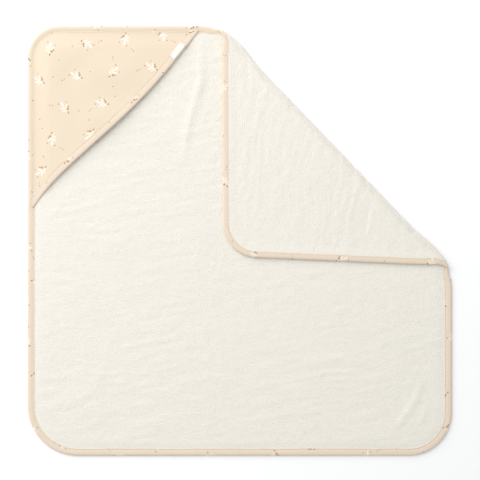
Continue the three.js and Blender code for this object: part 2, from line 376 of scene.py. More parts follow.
@dataclass(frozen=True)
class PrintedCotton:
    """Plain-weave cotton, piece-dyed pale peach and printed with small scattered leaf sprigs.

    Each cell of a half-drop repeat is turned by its own random angle and holds one white sprig
    of narrow leaves, ochre berries beside it and a few grey-brown specks.
    """

    name: str = "printed_cotton"
    ground: str = "#E9D8C0"
    leaf: str = "#FBF8F2"
    berry: str = "#B07E33"
    speck: str = "#8F7F6C"
    cell: float = 60 * MM
    turn: float = 0.35
    thread_spacing: float = 0.9 * MM
    wear_size: float = 14 * MM
    wear: float = 0.10
    leaf_strength: float = 0.74
    berry_strength: float = 0.85
    speck_strength: float = 0.65
    roughness: float = 0.85
    sheen: float = 0.15
    relief: float = 0.5

    LEAVES = (
        Blob(0.50, 0.60, 0.092, 0.029, 1.45),
        Blob(0.44, 0.50, 0.072, 0.025, 2.45),
        Blob(0.56, 0.50, 0.072, 0.025, 0.65),
        Blob(0.45, 0.41, 0.058, 0.022, 2.75),
        Blob(0.50, 0.42, 0.110, 0.011, 1.57),
    )
    BERRIES = (
        Blob(0.58, 0.41, 0.034, 0.027, 0.4),
        Blob(0.62, 0.46, 0.024, 0.021),
        Blob(0.54, 0.31, 0.031, 0.022, 1.2),
        Blob(0.41, 0.67, 0.021, 0.019),
    )
    SPECKS = (
        Blob(0.64, 0.62, 0.020, 0.017),
        Blob(0.17, 0.76, 0.023, 0.018, 0.5),
        Blob(0.24, 0.72, 0.016, 0.016),
        Blob(0.83, 0.20, 0.018, 0.022, 0.9),
    )

    def marks(self, tree: bpy.types.NodeTree, cell: bpy.types.NodeSocket,
              blobs: tuple[Blob, ...]) -> bpy.types.NodeSocket:
        """The cover, from 0 to 1, of some marks: each is 1 inside its oval, soft at its edge.

        Args:
            tree: the node tree.
            cell: coordinates inside the cell, from 0 to 1.
            blobs: the marks.

        Returns:
            The greatest cover of any mark.
        """
        cover = 0.0
        for blob in blobs:
            oval = add_node(tree, "Mapping",
                            {"Vector": cell, "Location": (blob.x, blob.y, 0),
                             "Rotation": (0, 0, blob.turn), "Scale": (blob.long, blob.short, 1)},
                            vector_type="TEXTURE")
            reach = add_node(tree, "VectorMath", {0: oval}, "Value", operation="LENGTH")
            edge = add_node(tree, "MapRange", {"Value": reach, "From Min": 1.15, "From Max": 0.8})
            cover = add_node(tree, "Math", {0: cover, 1: edge}, operation="MAXIMUM")
        return cover

    def cell_coordinates(self, tree: bpy.types.NodeTree,
                         cloth: bpy.types.NodeSocket) -> bpy.types.NodeSocket:
        """Coordinates inside each cell of the half-drop repeat, turned at random about its middle.

        Args:
            tree: the node tree.
            cloth: the place on the flat cloth, in metres.

        Returns:
            The coordinates, from 0 to 1.
        """
        place = add_node(tree, "Mapping", {"Vector": cloth, "Rotation": (0, 0, self.turn),
                                           "Scale": per(self.cell)})
        across, along = add_node(tree, "SeparateXYZ", {0: place}).node.outputs[:2]
        column = add_node(tree, "Math", {0: across}, operation="FLOOR")
        column = add_node(tree, "Math", {0: column}, operation="ABSOLUTE")
        odd = add_node(tree, "Math", {0: column, 1: 2.0}, operation="MODULO")
        dropped = add_node(tree, "Math", {0: odd, 1: 0.5, 2: along}, operation="MULTIPLY_ADD")
        repeat = add_node(tree, "CombineXYZ", {0: across, 1: dropped})
        inside = add_node(tree, "VectorMath", {0: repeat}, operation="FRACTION")
        which = add_node(tree, "VectorMath", {0: repeat}, operation="FLOOR")
        chance = add_node(tree, "TexWhiteNoise", {"Vector": which}, "Value", noise_dimensions="2D")
        angle = add_node(tree, "Math", {0: chance, 1: math.tau}, operation="MULTIPLY")
        return add_node(tree, "VectorRotate", {"Vector": inside, "Angle": angle, "Center": (0.5, 0.5, 0)},
                        rotation_type="Z_AXIS")

    def weave(self, tree: bpy.types.NodeTree, cloth: bpy.types.NodeSocket) -> bpy.types.NodeSocket:
        """Thread heights of a plain weave: sin(x) sin(y), with half a wave to each thread.

        Args:
            tree: the node tree.
            cloth: the place on the flat cloth, in metres.

        Returns:
            The heights, from -1 to 1.
        """
        place = add_node(tree, "Mapping", {"Vector": cloth, "Scale": per(self.thread_spacing / math.pi)})
        waves = add_node(tree, "VectorMath", {0: place}, operation="SINE")
        warp, weft = add_node(tree, "SeparateXYZ", {0: waves}).node.outputs[:2]
        return add_node(tree, "Math", {0: warp, 1: weft}, operation="MULTIPLY")

    def material(self) -> bpy.types.Material:
        """Builds the material: ground, print and a plain weave of crossing threads.

        Returns:
            The material.
        """
        material, tree, shader = new_cloth(self.name, self.roughness, self.sheen)
        cloth = add_node(tree, "UVMap", uv_map="cloth")
        cell = self.cell_coordinates(tree, cloth)
        place = add_node(tree, "Mapping", {"Vector": cloth, "Scale": per(self.wear_size)})
        patches = add_node(tree, "TexNoise", {"Vector": place}, "Fac")
        worn = add_node(tree, "Math", {0: patches, 1: self.wear}, operation="MULTIPLY")
        colour = add_node(tree, "Mix", {0: worn, 6: linear(self.ground), 7: linear(self.leaf)}, 2,
                          data_type="RGBA")
        for ink, blobs, strength in ((self.leaf, self.LEAVES, self.leaf_strength),
                                     (self.berry, self.BERRIES, self.berry_strength),
                                     (self.speck, self.SPECKS, self.speck_strength)):
            cover = add_node(tree, "Math", {0: self.marks(tree, cell, blobs), 1: strength},
                             operation="MULTIPLY")
            colour = add_node(tree, "Mix", {0: cover, 6: colour, 7: linear(ink)}, 2, data_type="RGBA")
        relief = add_node(tree, "Bump", {"Height": self.weave(tree, cloth), "Strength": self.relief,
                                         "Distance": Weight.PLAIN.value})
        wire(tree, shader, {"Base Color": colour, "Normal": relief})
        return material


@dataclass(frozen=True)
class SpunThread:
    """Spun polyester sewing thread: two plies twisted, faintly glossy."""

    name: str = "spun_polyester_thread"
    colour: str = "#DCC7AC"
    ply_spacing: float = 0.6 * MM
    twist: float = 0.8
    roughness: float = 0.6
    sheen: float = 0.1
    relief: float = 0.4

    def material(self) -> bpy.types.Material:
        """Builds the material: slanting bands for the plies.

        Returns:
            The material.
        """
        material, tree, shader = new_cloth(self.name, self.roughness, self.sheen)
        place = add_node(tree, "TexCoord", output="Object")
        place = add_node(tree, "Mapping", {"Vector": place, "Rotation": (0, 0, self.twist),
                                           "Scale": per(self.ply_spacing)})
        plies = add_node(tree, "TexWave", {"Vector": place}, "Fac")
        relief = add_node(tree, "Bump", {"Height": plies, "Strength": self.relief,
                                         "Distance": Weight.FINE.value})
        wire(tree, shader, {"Base Color": linear(self.colour), "Normal": relief})
        return material


@dataclass(frozen=True)
class SatinTape:
    """White polyester satin label tape, woven in fine ribs across its length."""

    name: str = "woven_satin_label"
    colour: str = "#F6F5F1"
    # Painted shade: the greyer white that the hollows between the ribs take.
    painted_rib_shade: str = "#E6E4DE"
    rib_spacing: float = 0.7 * MM
    roughness: float = 0.42
    sheen: float = 0.1
    relief: float = 0.3

    def material(self) -> bpy.types.Material:
        """Builds the material: fine ribs in relief, painted shade between them in the colour, and a satin
        gloss.

        Returns:
            The material.
        """
        material, tree, shader = new_cloth(self.name, self.roughness, self.sheen)
        cloth = add_node(tree, "UVMap", uv_map="cloth")
        place = add_node(tree, "Mapping", {"Vector": cloth, "Scale": per(self.rib_spacing)})
        ribs = add_node(tree, "TexWave", {"Vector": place}, "Fac")
        # Painted shade between the ribs: the colour turns greyer where the rib wave is low.
        colour = add_node(tree, "Mix", {0: ribs, 6: linear(self.painted_rib_shade), 7: linear(self.colour)}, 2,
                          data_type="RGBA")
        relief = add_node(tree, "Bump", {"Height": ribs, "Strength": self.relief,
                                         "Distance": Weight.FINE.value})
        wire(tree, shader, {"Base Color": colour, "Normal": relief})
        return material


# ---------------------------------------------------------------- the flat cut and its fold


@dataclass
class Outline:
    """The towel's rounded outline, lying flat, with a radius of its own at each corner."""

    low: np.ndarray
    high: np.ndarray
    lower_right: float = 76 * MM
    free_corner: float = 60 * MM
    hood_corner: float = 57 * MM
    lower_left: float = 88 * MM
    points_round_a_corner: int = 60

    def distance(self, x: np.ndarray, y: np.ndarray) -> np.ndarray:
        """Distance to the outline, negative inside: that of a box grown by its corner's radius.

        Args:
            x: places across the cloth.
            y: places along the cloth.

        Returns:
            A signed distance for each place.
        """
        middle, half = (self.low + self.high) / 2, (self.high - self.low) / 2
        px, py = x - middle[0], y - middle[1]
        right = np.where(py > 0, self.free_corner, self.lower_right)
        left = np.where(py > 0, self.hood_corner, self.lower_left)
        radius = np.where(px > 0, right, left)
        qx, qy = np.abs(px) - half[0] + radius, np.abs(py) - half[1] + radius
        outside = np.hypot(np.maximum(qx, 0), np.maximum(qy, 0))
        return outside + np.minimum(np.maximum(qx, qy), 0) - radius

    def pull_in(self, x: np.ndarray, y: np.ndarray, inset: float,
                reach: float) -> tuple[np.ndarray, np.ndarray]:
        """Moves points that lie within reach of an inset line onto it, along the way out.

        Args:
            x: places across the cloth.
            y: places along the cloth.
            inset: how far inside the outline the line runs.
            reach: how near a point has to be.

        Returns:
            The moved x and y.
        """
        step = 0.2 * MM
        d = self.distance(x, y)
        gx = (self.distance(x + step, y) - self.distance(x - step, y)) / (2 * step)
        gy = (self.distance(x, y + step) - self.distance(x, y - step)) / (2 * step)
        move = np.where(d > -inset - reach, d + inset, 0)
        return x - move * gx, y - move * gy

    def path(self, spacing: float) -> tuple[np.ndarray, np.ndarray, np.ndarray]:
        """Walks the outline anticlockwise from the middle of its lower edge.

        Args:
            spacing: distance between points.

        Returns:
            Points, unit vectors pointing inwards, and the distance walked at each point. The
            last point is one step short of the first.
        """
        (x0, y0), (x1, y1) = self.low, self.high
        corners = ((x1, y0, -1, 1, self.lower_right, -90), (x1, y1, -1, -1, self.free_corner, 0),
                   (x0, y1, 1, -1, self.hood_corner, 90), (x0, y0, 1, 1, self.lower_left, 180))
        runs = [np.array([[(x0 + x1) / 2, y0]])]
        for x, y, in_x, in_y, radius, start in corners:
            angle = np.radians(np.linspace(start, start + 90, self.points_round_a_corner))[:, None]
            centre = np.array([[x + in_x * radius, y + in_y * radius]])
            runs.append(centre + radius * np.hstack([np.cos(angle), np.sin(angle)]))
        corner_points = np.vstack([*runs, runs[0]])
        steps = np.linalg.norm(np.diff(corner_points, axis=0), axis=1)
        walked = np.concatenate([[0], np.cumsum(steps)])
        count = int(round(walked[-1] / spacing))
        at = np.arange(count) * walked[-1] / count
        points = np.stack([np.interp(at, walked, corner_points[:, k]) for k in (0, 1)], axis=1)
        tangent = unit(np.roll(points, -1, axis=0) - np.roll(points, 1, axis=0))
        return points, np.stack([-tangent[:, 1], tangent[:, 0]], axis=1), at


@dataclass
class Fold:
    """The line that the sheet is folded over, and the soft roll of cloth along it.

    Across the fold the cloth's middle follows a curve given by its tangent angle: 0 on the lower
    layer, rising to a little past half a turn, so that the roll stands proud, and easing back to
    half a turn on the upper layer. The curve's place is the running sum of the angle's cosine
    and sine, and the overshoot is the one that brings it to the upper layer's height.

    The thick edge tape resists the fold, so both ends of the fold are drawn in along it. The
    upper layer has also slid sideways, more with distance from the fold.
    """

    hinge: np.ndarray
    axis: np.ndarray
    low: float
    outline: Outline
    start: float = 7 * MM
    length: float = 20 * MM
    turned_by: float = 0.62
    overshoot_from: float = 0.35
    slide: float = 0.065
    slip: tuple[float, float] = (7.4 * MM, 6.6 * MM)
    slip_reach: float = 24 * MM
    gather: float = 4.0 * MM
    gather_width: float = 17 * MM
    gather_reach: float = 50 * MM
    proud: float = 1.2 * MM
    rounding: float = 5.5 * MM
    rounding_reach: float = 11 * MM
    fullness: float = 5.0 * MM
    full_from: float = 52 * MM
    full_reach: float = 34 * MM
    roll_reach: float = 24 * MM
    samples: int = 400
    ends: np.ndarray = field(init=False)
    arc: np.ndarray = field(init=False)
    run: np.ndarray = field(init=False)
    rise: np.ndarray = field(init=False)
    angle: np.ndarray = field(init=False)

    def __post_init__(self) -> None:
        """Works out the curve and the fold line's ends once.

        The overshoot's shape is a squared half sine over the later part of the curve. Its size is
        read off a table of sizes tried against the height that each one gains.
        """
        x, y = self.hinge[:2]
        slope = self.axis[1] / self.axis[0]
        right, top = self.outline.high
        self.ends = np.array([[x + (top - y) / slope, top], [right, y + (right - x) * slope]])
        share = np.linspace(0, 1, self.samples)
        turn = math.pi * smooth(0, self.turned_by, share)
        late = np.clip((share - self.overshoot_from) / (1 - self.overshoot_from), 0, 1)
        extra = np.sin(math.pi * late) ** 2
        step = self.length / (self.samples - 1)
        tries = np.linspace(-0.5, 1.5, 200)
        gains = np.array([np.sin(turn + size * extra).sum() * step for size in tries])
        order = np.argsort(gains)
        overshoot = np.interp(self.high - self.low, gains[order], tries[order])
        self.angle = turn + overshoot * extra
        self.arc = share * self.length - self.start
        self.run = np.concatenate([[0], np.cumsum(np.cos(self.angle[1:]) * step)]) - self.start
        self.rise = np.concatenate([[0], np.cumsum(np.sin(self.angle[1:]) * step)]) + self.low

    @property
    def high(self) -> float:
        """Height of the upper layer's middle: as far above the hinge as the lower is below."""
        return 2 * self.hinge[2] - self.low

    @property
    def across(self) -> np.ndarray:
        """Unit vector over the flat cloth, square to the fold, towards the corner."""
        return np.array([self.axis[1], -self.axis[0]])

    def beyond(self, flat: np.ndarray) -> np.ndarray:
        """How far each flat place lies beyond the fold line."""
        return (flat - self.hinge[:2]) @ self.across

    def draw_in(self, flat: np.ndarray) -> np.ndarray:
        """Draws the cloth in along the fold near both its ends.

        The move is gather, times a bell curve of the distance from the fold line, times another
        of the distance from the end.

        Args:
            flat: places on the flat cloth.

        Returns:
            The moved places, as far from the fold line as they were.
        """
        near_fold = bump(self.beyond(flat), 0, self.gather_width)
        middle = (self.ends[0] + self.ends[1]) / 2
        moved = flat
        for end in self.ends:
            inward = unit(middle - end)
            away = np.maximum((flat - end) @ inward, 0)
            move = self.gather * near_fold * bump(away, 0, self.gather_reach)
            moved = moved + move[..., None] * inward
        return moved

    def sideways(self, beyond: np.ndarray) -> np.ndarray:
        """How the upper layer has slid: a short slip by the fold, then a share of the distance.

        The slide runs the way that straight down the flat cloth points once it is turned over.

        Args:
            beyond: how far each place lies beyond the fold line.

        Returns:
            The move at each place.
        """
        down = np.array([0.0, -1.0])
        turned = down - 2 * (down @ self.across) * self.across
        slid = (self.slide * np.maximum(beyond, 0))[..., None] * turned
        return slid + smooth(0, self.slip_reach, beyond)[..., None] * np.array(self.slip)

    def stand_out(self, flat: np.ndarray, beyond: np.ndarray) -> np.ndarray:
        """How far the roll stands out from the straight fold line.

        The amount is a bell of fullness some way in from each end, less a bell of rounding at
        the end itself, times a bell of the distance from the fold.

        Args:
            flat: places on the flat cloth.
            beyond: how far each lies beyond the fold line.

        Returns:
            The move across the fold at each place.
        """
        along = unit(self.ends[1] - self.ends[0])
        amount = np.full(beyond.shape, self.proud)
        for end, way in zip(self.ends, (along, -along)):
            away = (flat - end) @ way
            amount += self.fullness * bump(away, self.full_from, self.full_reach)
            amount -= self.rounding * bump(away, 0, self.rounding_reach)
        return amount * bump(beyond, 0, self.roll_reach)

    def place(self, flat: np.ndarray, lift: np.ndarray) -> np.ndarray:
        """Carries flat cloth through the fold.

        Args:
            flat: places on the flat cloth.
            lift: how far each point is off the cloth's middle, towards its front.

        Returns:
            Positions in the row frame.
        """
        flat = self.draw_in(flat)
        beyond = self.beyond(flat)
        past = np.maximum(beyond - self.arc[-1], 0)
        run = np.where(beyond < self.arc[0], beyond, np.interp(beyond, self.arc, self.run) - past)
        rise = np.interp(beyond, self.arc, self.rise)
        angle = np.interp(beyond, self.arc, self.angle)
        move = run - np.sin(angle) * lift - beyond + self.stand_out(flat, beyond)
        ground = flat + move[..., None] * self.across + self.sideways(beyond)
        return np.concatenate([ground, (rise + np.cos(angle) * lift)[..., None]], axis=-1)

    def front(self, flat: np.ndarray) -> np.ndarray:
        """The unit normal of the cloth's front, once folded: up at first, leaning over the fold.

        Args:
            flat: places on the flat cloth.

        Returns:
            The normal at each place.
        """
        angle = np.interp(self.beyond(flat), self.arc, self.angle)
        side = -np.sin(angle)[..., None] * self.across
        return np.concatenate([side, np.cos(angle)[..., None]], axis=-1)


@dataclass(frozen=True)
class Crease:
    """A soft crease in the lying cloth: a low ridge along a line through a few points."""

    points: tuple[tuple[float, float], ...]
    height: float
    width: float

    def lift(self, x: np.ndarray, y: np.ndarray) -> np.ndarray:
        """Ridge height: the nearest stretch's bell curve, fading out towards the ends.

        Args:
            x: places across the cloth.
            y: places along the cloth.

        Returns:
            Height at each place.
        """
        best = np.zeros_like(x)
        line = np.array(self.points, float)
        lengths = np.linalg.norm(np.diff(line, axis=0), axis=1)
        walked = np.concatenate([[0], np.cumsum(lengths)]) / lengths.sum()
        for (a, b), (s0, s1) in zip(zip(line[:-1], line[1:]), zip(walked[:-1], walked[1:])):
            d = b - a
            t = np.clip(((x - a[0]) * d[0] + (y - a[1]) * d[1]) / (d @ d), 0, 1)
            away = np.hypot(x - a[0] - t * d[0], y - a[1] - t * d[1])
            fade = np.sin(math.pi * np.clip(s0 + t * (s1 - s0), 0, 1)) ** 0.7
            best = np.maximum(best, fade * bump(away, 0, self.width))
        return self.height * best


# ---------------------------------------------------------------- the terry sheet


@dataclass
class TerrySheet:
    """The looped cotton sheet: a grid laid along the fold, its pile roughened point by point.

    The creases run through points measured from the middle of the outline.
    """

    outline: Outline
    fold: Fold
    spacing: float = 3.25 * MM
    roll_spacing: float = 1.1 * MM
    half_span: float = 0.80
    inset: float = 3.6 * MM
    overlap: float = 26 * MM
    thickness: float = 3.6 * MM
    pile: float = 0.30 * MM
    ripple: float = 0.45 * MM
    ripple_size: float = 8 * MM
    brushed: float = 1.15 * MM
    ridge_size: float = 7.5 * MM
    ridge_stretch: float = 0.17
    ridge_slant: float = 0.14
    ridge_sway: float = 11 * MM
    sway_size: float = 75 * MM
    ridge_patch: float = 60 * MM
    ridge_strength: float = 0.55
    wave: float = 0.9 * MM
    wave_size: float = 95 * MM
    covered_from: float = -0.06
    covered_soft: float = 0.02
    covered_share: float = 0.7
    near_share: float = 0.75
    near_gap: float = 2 * MM
    held_to: float = 10.5 * MM
    loose_from: float = 26 * MM

    CREASES = (
        Crease(((-0.069, 0.360), (-0.068, 0.283), (-0.090, 0.212), (-0.102, 0.133)), 1.9 * MM, 7 * MM),
        Crease(((0.322, -0.250), (0.306, -0.291), (0.283, -0.323), (0.268, -0.336)), 1.6 * MM, 6 * MM),
        Crease(((0.330, -0.292), (0.318, -0.330)), 1.0 * MM, 5 * MM),
        Crease(((-0.300, -0.300), (-0.255, -0.262), (-0.235, -0.205)), 0.8 * MM, 12 * MM),
        Crease(((0.060, -0.180), (0.130, -0.215), (0.215, -0.205)), 0.7 * MM, 14 * MM),
        Crease(((0.004, 0.362), (0.014, 0.345), (0.036, 0.322)), 1.5 * MM, 8 * MM),
    )

    def lift(self, x: np.ndarray, y: np.ndarray) -> np.ndarray:
        """Height of the cloth's middle over flat: pile, ripples, waves and creases, never below it.

        Handling brushes the pile into faint wavering ridges, several times longer than they are
        wide, that come and go over the sheet. The sheet lies flatter under the folded corner,
        and its edge tape holds it down all round.

        Args:
            x: places across the cloth.
            y: places along the cloth.

        Returns:
            Lift at each place.
        """
        loops = np.abs(np.random.default_rng(SEED).normal(0, 1, x.shape)).clip(0, 2)
        ripple = soft_noise(x, y, self.ripple_size, SEED + 1) * 0.5 + 0.5
        sway = self.ridge_sway * soft_noise(x, y, self.sway_size, SEED + 10)
        waver = y - self.ridge_slant * x + sway
        patches = soft_noise(x, y, self.ridge_patch, SEED + 11)
        strength = self.ridge_strength + (1 - self.ridge_strength) * patches
        ridges = soft_noise(self.ridge_stretch * x, waver, self.ridge_size, SEED + 12) * 0.5 + 0.5
        wave = soft_noise(x, y, self.wave_size, SEED + 2) * 0.5 + 0.5
        under = np.minimum(x, y) - self.covered_from
        covered = smooth(-self.covered_soft, self.covered_soft, under)
        soft = sum(crease.lift(x, y) for crease in self.CREASES)
        loose = smooth(self.held_to, self.loose_from, -self.outline.distance(x, y))
        rise = self.ripple * ripple + self.brushed * ridges * strength
        rise = rise + self.wave * wave * (1 - self.covered_share * covered) + soft
        return (self.pile * loops + rise) * loose

    def turned(self, x: np.ndarray, y: np.ndarray) -> np.ndarray:
        """Which places belong to the stretch that folds over.

        It starts some way before the fold line, under the folded corner, and nearer to the line
        towards its ends, where the corner covers less.

        Args:
            x: places across the cloth.
            y: places along the cloth.

        Returns:
            Whether each place does.
        """
        flat = np.stack([x, y], axis=-1)
        from_end = np.minimum(*(np.linalg.norm(flat - end, axis=-1) for end in self.fold.ends))
        overlap = np.clip(self.near_share * from_end - self.near_gap, self.fold.start, self.overlap)
        return self.fold.beyond(flat) > -overlap

    def build(self) -> list[bpy.types.Object]:
        """Builds the lying sheet and the stretch that folds over.

        The grid's rows run along the fold and are closer together round the roll. Its squares
        are kept where all four corners lie inside the edge, and the outermost points are pulled
        onto it.

        Returns:
            The two pieces, which share one line of points.
        """
        count = int(self.half_span / self.spacing)
        steps = np.arange(-count, count + 1) * self.spacing
        roll = np.arange(self.fold.arc[0], self.fold.arc[-1], self.roll_spacing)
        outside = (steps < roll[0] - self.roll_spacing) | (steps > roll[-1] + self.roll_spacing)
        rows = np.sort(np.concatenate([steps[outside], roll]))
        along, beyond = np.meshgrid(steps, rows, indexing="xy")
        ground = along[..., None] * -self.fold.axis[:2] + beyond[..., None] * self.fold.across
        x, y = ground[..., 0] + self.fold.hinge[0], ground[..., 1] + self.fold.hinge[1]
        inside = self.outline.distance(x, y) < -self.inset - 0.35 * self.spacing
        kept = inside[:-1, :-1] & inside[1:, :-1] & inside[:-1, 1:] & inside[1:, 1:]
        px, py = self.outline.pull_in(x, y, self.inset, 1.25 * self.spacing)
        flat = np.stack([np.where(inside, px, x), np.where(inside, py, y)], axis=-1)
        placed = self.fold.place(flat, self.lift(x, y)).reshape(-1, 3)
        faces = grid_faces(*x.shape)
        turned = self.turned(x[:-1, :-1], y[:-1, :-1])
        cut = flat.reshape(-1, 2) - self.outline.low
        pieces = []
        for name, chosen in (("terry_sheet", kept & ~turned), ("terry_folded_corner", kept & turned)):
            used, numbers = np.unique(faces[chosen.ravel()], return_inverse=True)
            piece = make_piece(name, placed[used], numbers.reshape(-1, 4).tolist(), cut[used],
                               self.thickness)
            piece["cut_area"] = float((chosen * np.diff(rows)[:, None]).sum() * self.spacing)
            pieces.append(piece)
        return pieces


# ---------------------------------------------------------------- tape and stitching


@dataclass(frozen=True)
class Stitching:
    """A row of lockstitches: short fat dashes of thread that dip into the cloth at both ends."""

    pitch: float = 3.1 * MM
    length: float = 2.5 * MM
    radius: float = 0.26 * MM
    dip: float = 0.9
    sides: int = 6

    RINGS = (-0.5, -0.38, 0.0, 0.38, 0.5)
    RING_WIDTHS = (0.3, 0.85, 1.0, 0.85, 0.3)

    def build(self, name: str,
              rows: list[tuple[np.ndarray, np.ndarray, np.ndarray]]) -> bpy.types.Object:
        """Builds one mesh of all the stitches.

        Each stitch is a spindle of five rings round its line. A ring sinks by the square of its
        distance from the stitch's middle, and the two end rings are closed.

        Args:
            name: the piece's name.
            rows: for each row of stitches, their centres, directions and outward normals.

        Returns:
            The piece.
        """
        centre, forward, up = (np.concatenate(parts) for parts in zip(*rows))
        along = np.array(self.RINGS)
        width = np.array(self.RING_WIDTHS) * self.radius
        sink = 4 * along**2 * self.dip * self.radius
        angle = np.arange(self.sides) * math.tau / self.sides
        ring_side = width[:, None] * np.cos(angle)
        ring_up = width[:, None] * np.sin(angle) - sink[:, None]
        ring_forward = np.repeat(along[:, None] * self.length, self.sides, axis=1)
        local = np.stack([ring_forward, ring_side, ring_up], axis=-1).reshape(-1, 3)
        frame = np.stack([forward, np.cross(up, forward), up], axis=1)
        points = centre[:, None, :] + np.einsum("pk,nkd->npd", local, frame)
        size = len(local)
        walls = grid_faces(len(along), self.sides, closed=True)
        starts = np.arange(len(centre)) * size
        faces = (walls[None] + starts[:, None, None]).reshape(-1, 4).tolist()
        for end in (np.arange(self.sides)[::-1], np.arange(size - self.sides, size)):
            faces += (end + starts[:, None]).tolist()
        return make_piece(name, points, faces, points[..., :2])


@dataclass(frozen=True)
class BiasTape:
    """Bias-cut tape wrapped round an edge as a U and stitched down near its inner edge.

    Its section is a strip that runs from the front's inner edge, round the outer edge, to the
    back's inner edge. The front puckers a little from stitch to stitch and dips along them.
    """

    back: tuple[float, ...]
    nose: float
    groove: float
    pucker: float
    pucker_pitch: float
    drift_size: float
    pucker_at: float
    pucker_width: float
    seed: int
    cut_from: float
    back_share: float = 1.0
    width: float = 12 * MM
    cut_width: float = 25.8 * MM
    thickness: float = 0.7 * MM
    stitch_inset: float = 10.2 * MM
    groove_width: float = 0.9 * MM
    thread_rise: float = 0.55

    FRONT = (12.0, 11.5, 10.9, 10.2, 9.5, 8.3, 6.5, 4.5, 2.6, 1.3, 0.5, 0.05)

    def section(self) -> tuple[np.ndarray, np.ndarray]:
        """The section's distances in from the outer edge, across the front and then the back."""
        return np.array(self.FRONT) * MM, np.array(self.back) * MM * self.back_share

    def rounded(self, w: np.ndarray) -> np.ndarray:
        """Share of full height at a distance in from the outer edge: a quarter round, then flat."""
        return np.sqrt(np.clip(1 - (1 - np.clip(w / self.nose, 0, 1)) ** 2, 0, 1))

    def sewn(self, w: np.ndarray, walked: np.ndarray) -> tuple[np.ndarray, np.ndarray]:
        """What the stitching does to the front.

        The puckers are a sine along the edge whose beat drifts a little, times a bell curve
        across the tape. The groove is a bell curve along the stitches.

        Args:
            w: distance in from the outer edge.
            walked: distance along the edge, of a shape that broadcasts with w.

        Returns:
            The height of the puckers and the depth of the groove.
        """
        drift = 0.5 * soft_noise(walked, np.zeros_like(walked), self.drift_size, self.seed)
        beat = np.sin(math.tau * (walked / self.pucker_pitch + drift))
        puckers = self.pucker * beat * bump(w, self.pucker_at, self.pucker_width)
        return puckers, self.groove * bump(w, self.stitch_inset, self.groove_width)

    def strip(self, name: str, placed: np.ndarray, walked: np.ndarray, length: float) -> bpy.types.Object:
        """Makes the tape's piece from its section, carried along an edge.

        Args:
            name: the piece's name.
            placed: positions by section and section point.
            walked: distance along the edge at each section.
            length: the strip's cut length.

        Returns:
            The piece.
        """
        front, back = self.section()
        around = np.concatenate([-front, back]) + self.cut_from
        flat = np.stack(np.meshgrid(walked, around, indexing="ij"), axis=-1)
        piece = make_piece(name, placed, grid_faces(*flat.shape[:2]).tolist(), flat, self.thickness)
        piece["cut_area"] = float(self.cut_width * length)
        return piece


